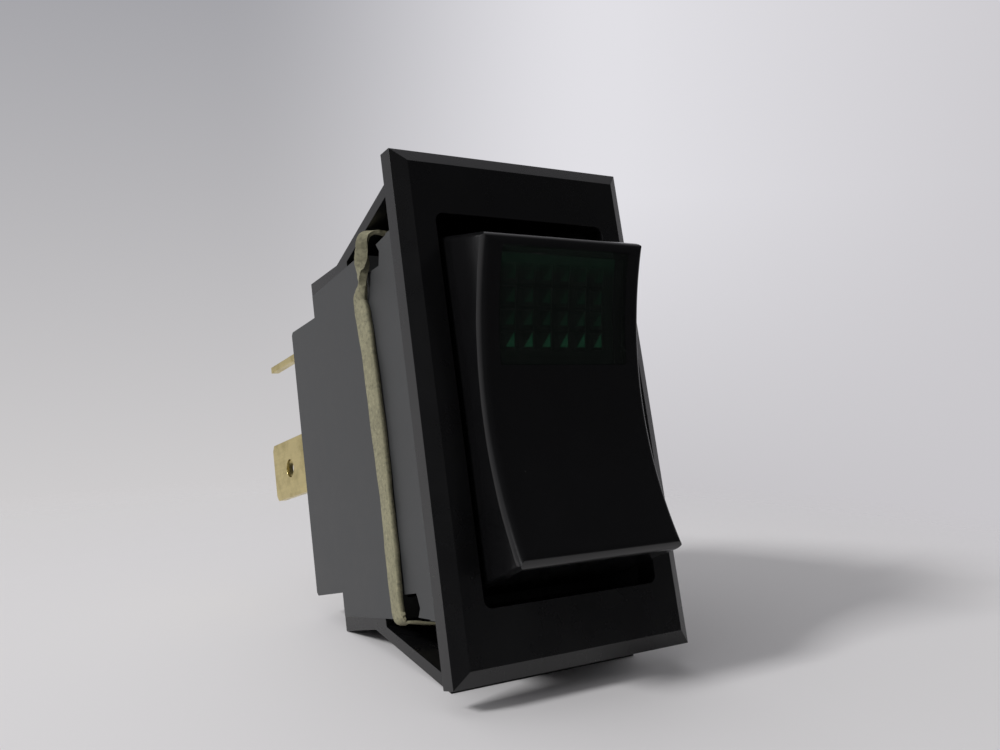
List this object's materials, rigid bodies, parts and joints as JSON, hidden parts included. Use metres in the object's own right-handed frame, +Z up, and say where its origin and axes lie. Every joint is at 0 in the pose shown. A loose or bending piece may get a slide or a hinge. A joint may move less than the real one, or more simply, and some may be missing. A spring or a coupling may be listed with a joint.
{
  "type": "panel rocker switch",
  "caption": "Snap-in panel rocker switch with a prismatic green lens, a bevelled bezel, spring wings, blade and pin terminals and a rubber band round the housing.",
  "frame": {"origin": "centre of the bezel's back face, in the plane of the panel's front", "axes": "+X across the switch, to the right seen from the front; +Y back into the panel; +Z up, towards the lens"},
  "size_m": [0.0254, 0.0464, 0.0465],
  "materials": {
    "black_nylon": "glossy moulded black",
    "housing_nylon": "matte moulded black-grey",
    "green_lens": "clear green, polished front",
    "white_acetal": "smooth natural white",
    "spring_wire": "drawn spring wire",
    "copper_strip": "stamped copper strip",
    "silver_alloy": "silver alloy contact rivet",
    "terminal_brass": "stamped pale brass, slightly dull",
    "lamp_glass": "clear glass neon lamp",
    "tinned_wire": "tinned copper wire",
    "resistor_enamel": "tan enamel",
    "holder_plastic": "moulded black",
    "tan_rubber": "tan natural rubber, dusty"
  },
  "bodies": {
    "housing": {"bezel_frame": "black_nylon", "switch_body": "housing_nylon", "common_terminal_left": "terminal_brass", "common_terminal_right": "terminal_brass", "load_terminal_left": "terminal_brass", "load_terminal_right": "terminal_brass", "cross_link_flat": "terminal_brass", "cross_link_bridge": "terminal_brass", "fixed_contacts_upper": "silver_alloy", "fixed_contacts_lower": "silver_alloy", "lamp": "lamp_glass", "lamp_leads": "tinned_wire", "lamp_resistor": "resistor_enamel", "lamp_holder": "holder_plastic", "rubber_band": "tan_rubber"},
    "rocker": {"rocker": "black_nylon", "lens": "green_lens", "plunger_spring_left": "spring_wire", "plunger_spring_right": "spring_wire"},
    "plunger_left": {"plunger_left": "white_acetal"},
    "plunger_right": {"plunger_right": "white_acetal"},
    "contact_rocker_left": {"contact_rocker_left": "copper_strip", "moving_contacts_left": "silver_alloy"},
    "contact_rocker_right": {"contact_rocker_right": "copper_strip", "moving_contacts_right": "silver_alloy"}
  },
  "joints": [
    {"name": "rocker_tilt", "type": "hinge", "parent": "housing", "child": "rocker", "pos_m": [0, 0.00415, 0], "axis": [1, 0, 0], "range_deg": [-14.2, 9.8]},
    {"name": "contact_tilt_left", "type": "hinge", "parent": "housing", "child": "contact_rocker_left", "pos_m": [-0.0051, 0.01895, 0], "axis": [1, 0, 0], "range_deg": [-5.9, 8.54]},
    {"name": "contact_tilt_right", "type": "hinge", "parent": "housing", "child": "contact_rocker_right", "pos_m": [0.0051, 0.01895, 0], "axis": [1, 0, 0], "range_deg": [-5.9, 8.54]},
    {"name": "plunger_slide_left", "type": "slide", "parent": "rocker", "child": "plunger_left", "axis": [0, -0.9993, -0.0384], "range_m": [0, 0.0008], "stiffness_N_per_m": 300, "deforming": ["plunger_spring_left"]},
    {"name": "plunger_slide_right", "type": "slide", "parent": "rocker", "child": "plunger_right", "axis": [0, -0.9993, -0.0384], "range_m": [0, 0.0008], "stiffness_N_per_m": 300, "deforming": ["plunger_spring_right"]}
  ],
  "couplings": [
    {"joint": "contact_tilt_left", "follows": "rocker_tilt", "ratio": -0.6},
    {"joint": "contact_tilt_right", "follows": "rocker_tilt", "ratio": -0.6}
  ]
}
